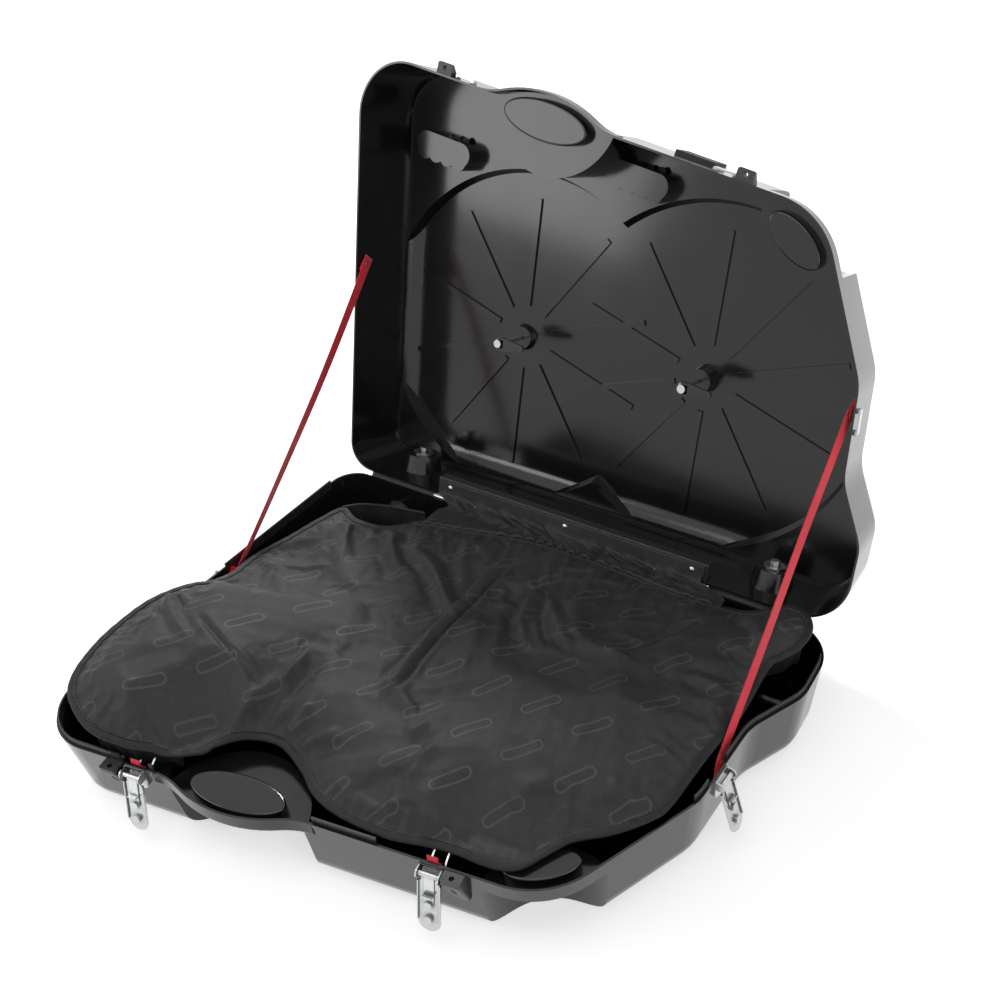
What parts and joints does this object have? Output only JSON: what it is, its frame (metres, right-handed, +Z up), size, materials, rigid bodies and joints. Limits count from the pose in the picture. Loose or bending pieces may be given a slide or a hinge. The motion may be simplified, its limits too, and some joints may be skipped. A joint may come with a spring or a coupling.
{
  "type": "bike travel case",
  "caption": "Hard clamshell bicycle travel case, open: hinged lid on webbing stays, padded cover, swing latches, scooped hand grips and swivel casters.",
  "frame": {"origin": "on the flat bottom of the base, under the middle of the case", "axes": "+Z up, +Y towards the hinge, +X to the right seen from the front"},
  "size_m": [1.2418, 1.3586, 1.0266],
  "materials": {
    "shell_black": "glossy moulded, fine orange peel",
    "trim_black": "satin",
    "chrome": "bright plated steel",
    "steel": "zinc plated",
    "red_webbing": "woven nylon webbing",
    "cover_fabric": "padded woven nylon with bound hem",
    "rubber": "matte, ribbed",
    "caster_wheel": "satin"
  },
  "bodies": {
    "base": {"base_hinge_leaf": "steel", "base_lug_left": "trim_black", "base_lug_right": "trim_black", "base_rivets": "steel", "base_shell": "shell_black", "cover_loop_front_left": "red_webbing", "cover_loop_front_right": "red_webbing", "hinge_pin": "steel", "latch_plate_front_left": "chrome", "latch_plate_front_right": "chrome", "latch_plate_left": "chrome", "latch_plate_right": "chrome", "padded_cover": "cover_fabric", "rim_tongue": "trim_black", "snap_hook_front_left": "chrome", "snap_hook_front_right": "chrome", "stay_strap_left": "red_webbing", "stay_strap_right": "red_webbing"},
    "lid": {"carry_plate_left": "trim_black", "carry_plate_right": "trim_black", "carry_screws": "steel", "dust_flap": "cover_fabric", "hinge_rail": "trim_black", "keeper_front_left": "chrome", "keeper_front_right": "chrome", "keeper_left": "chrome", "keeper_right": "chrome", "lid_hinge_leaf": "steel", "lid_lug_left": "trim_black", "lid_lug_right": "trim_black", "lid_rivets": "steel", "lid_shell": "shell_black", "skewer_left": "chrome", "skewer_right": "chrome", "stand_pad": "rubber"},
    "base_caster_left": {"base_caster_fork_left": "steel", "base_caster_nut_left": "steel"},
    "base_caster_right": {"base_caster_fork_right": "steel", "base_caster_nut_right": "steel"},
    "base_caster_wheel_left": {"base_caster_wheel_left": "caster_wheel"},
    "base_caster_wheel_right": {"base_caster_wheel_right": "caster_wheel"},
    "cam_lever_left": {"cam_lever_left": "trim_black"},
    "cam_lever_right": {"cam_lever_right": "trim_black"},
    "latch_front_left": {"latch_grip_front_left": "trim_black", "latch_lever_front_left": "chrome"},
    "latch_front_right": {"latch_grip_front_right": "trim_black", "latch_lever_front_right": "chrome"},
    "latch_left": {"latch_grip_left": "trim_black", "latch_lever_left": "chrome"},
    "latch_right": {"latch_grip_right": "trim_black", "latch_lever_right": "chrome"},
    "lid_caster_left": {"lid_caster_fork_left": "steel", "lid_caster_nut_left": "steel"},
    "lid_caster_right": {"lid_caster_fork_right": "steel", "lid_caster_nut_right": "steel"},
    "lid_caster_wheel_left": {"lid_caster_wheel_left": "caster_wheel"},
    "lid_caster_wheel_right": {"lid_caster_wheel_right": "caster_wheel"}
  },
  "joints": [
    {"name": "lid_hinge", "type": "hinge", "parent": "base", "child": "lid", "pos_m": [0, 0.44, 0.1805], "axis": [1, 0, 0], "range_deg": [0, 109.6], "deforming": ["stay_strap_left", "stay_strap_right"]},
    {"name": "latch_front_left_swing", "type": "hinge", "parent": "base", "child": "latch_front_left", "pos_m": [-0.3554, -0.43922, 0.166], "axis": [-0.9877, -0.1561, 0], "range_deg": [-13, 166]},
    {"name": "latch_front_right_swing", "type": "hinge", "parent": "base", "child": "latch_front_right", "pos_m": [0.2175, -0.34871, 0.166], "axis": [-0.9877, -0.1561, 0], "range_deg": [-13, 166]},
    {"name": "latch_right_swing", "type": "hinge", "parent": "base", "child": "latch_right", "pos_m": [0.55363, 0.03911, 0.166], "axis": [-0.0665, -0.9978, 0], "range_deg": [-13, 166]},
    {"name": "latch_left_swing", "type": "hinge", "parent": "base", "child": "latch_left", "pos_m": [-0.60276, 0.00463, 0.166], "axis": [0.0343, 0.9994, 0], "range_deg": [-13, 166]},
    {"name": "base_caster_swivel_left", "type": "hinge", "parent": "base", "child": "base_caster_left", "pos_m": [-0.435, 0.392, 0.092], "axis": [0, 1, 0], "continuous": true},
    {"name": "base_caster_roll_left", "type": "hinge", "parent": "base_caster_left", "child": "base_caster_wheel_left", "pos_m": [-0.435, 0.43, 0.078], "axis": [1, 0, 0], "continuous": true},
    {"name": "lid_caster_swivel_left", "type": "hinge", "parent": "lid", "child": "lid_caster_left", "pos_m": [-0.435, 0.53947, 0.19603], "axis": [0, -0.3355, -0.9421], "continuous": true},
    {"name": "lid_caster_roll_left", "type": "hinge", "parent": "lid_caster_left", "child": "lid_caster_wheel_left", "pos_m": [-0.435, 0.53992, 0.15554], "axis": [1, 0, 0], "continuous": true},
    {"name": "base_caster_swivel_right", "type": "hinge", "parent": "base", "child": "base_caster_right", "pos_m": [0.435, 0.392, 0.092], "axis": [0, 1, 0], "continuous": true},
    {"name": "base_caster_roll_right", "type": "hinge", "parent": "base_caster_right", "child": "base_caster_wheel_right", "pos_m": [0.435, 0.43, 0.078], "axis": [1, 0, 0], "continuous": true},
    {"name": "lid_caster_swivel_right", "type": "hinge", "parent": "lid", "child": "lid_caster_right", "pos_m": [0.435, 0.53947, 0.19603], "axis": [0, -0.3355, -0.9421], "continuous": true},
    {"name": "lid_caster_roll_right", "type": "hinge", "parent": "lid_caster_right", "child": "lid_caster_wheel_right", "pos_m": [0.435, 0.53992, 0.15554], "axis": [1, 0, 0], "continuous": true},
    {"name": "cam_lever_flip_left", "type": "hinge", "parent": "lid", "child": "cam_lever_left", "pos_m": [-0.255, 0.63257, 0.48877], "axis": [0, -0.3355, -0.9421], "range_deg": [0, 170]},
    {"name": "cam_lever_flip_right", "type": "hinge", "parent": "lid", "child": "cam_lever_right", "pos_m": [0.185, 0.62273, 0.50288], "axis": [0, -0.3355, -0.9421], "range_deg": [0, 170]}
  ]
}
